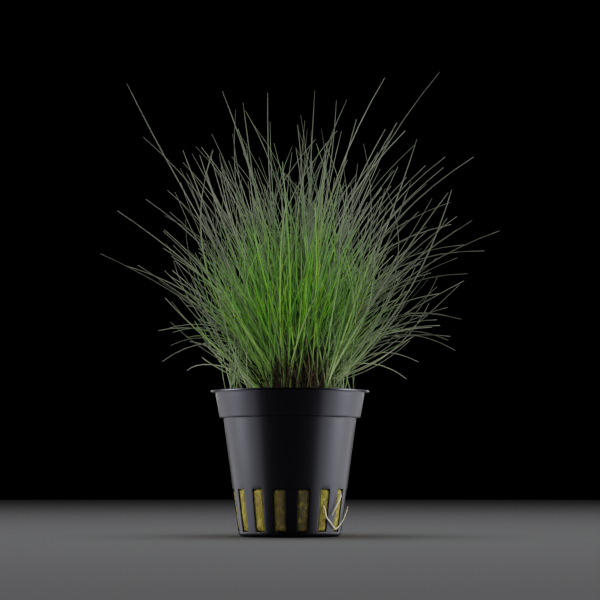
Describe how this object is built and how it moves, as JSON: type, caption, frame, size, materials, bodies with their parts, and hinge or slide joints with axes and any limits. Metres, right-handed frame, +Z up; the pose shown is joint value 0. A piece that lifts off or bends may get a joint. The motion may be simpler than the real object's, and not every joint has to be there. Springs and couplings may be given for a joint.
{
  "type": "potted dwarf hairgrass",
  "caption": "Tuft of dwarf hairgrass, an aquarium plant with thin upright and arching culms, growing from mineral wool in a small black slotted net pot.",
  "frame": {"origin": "centre of the pot's underside, on the surface that it stands on", "axes": "+Z up along the pot's axis, -Y towards the front that the picture shows, +X to its right"},
  "size_m": [0.1392, 0.1218, 0.1616],
  "materials": {
    "pot_plastic": "glossy black injection-moulded plastic",
    "mineral_wool": "damp fibrous mineral wool, yellow-green with brown patches",
    "old_roots": "matted brown roots and old stem bases",
    "culm": "smooth living green stem, pale at the foot",
    "pale_root": "pale tan live root"
  },
  "bodies": {
    "root": {"net_pot": "pot_plastic", "rockwool_plug": "mineral_wool", "root_crown": "old_roots", "tuft_01": "culm", "tuft_02": "culm", "tuft_03": "culm", "tuft_04": "culm", "tuft_05": "culm", "tuft_06": "culm", "tuft_07": "culm", "tuft_08": "culm", "tuft_09": "culm", "tuft_10": "culm", "tuft_11": "culm", "tuft_12": "culm", "tuft_13": "culm", "tuft_14": "culm", "tuft_15": "culm", "tuft_16": "culm", "tuft_17": "culm", "tuft_18": "culm", "tuft_19": "culm", "tuft_20": "culm", "tuft_21": "culm", "tuft_22": "culm", "tuft_23": "culm", "tuft_24": "culm", "tuft_25": "culm", "tuft_26": "culm", "tuft_27": "culm", "tuft_28": "culm", "tuft_29": "culm", "tuft_30": "culm", "tuft_31": "culm", "tuft_32": "culm", "tuft_33": "culm", "tuft_34": "culm", "tuft_35": "culm", "tuft_36": "culm", "tuft_37": "culm", "tuft_38": "culm", "tuft_39": "culm", "tuft_40": "culm", "tuft_41": "culm", "tuft_42": "culm", "tuft_43": "culm", "tuft_44": "culm", "tuft_45": "culm", "tuft_46": "culm", "tuft_47": "culm", "tuft_48": "culm", "tuft_49": "culm", "tuft_50": "culm", "tuft_51": "culm", "tuft_52": "culm", "tuft_53": "culm", "tuft_54": "culm", "tuft_55": "culm", "stray_root_long": "pale_root", "stray_root_short": "pale_root"}
  },
  "joints": []
}
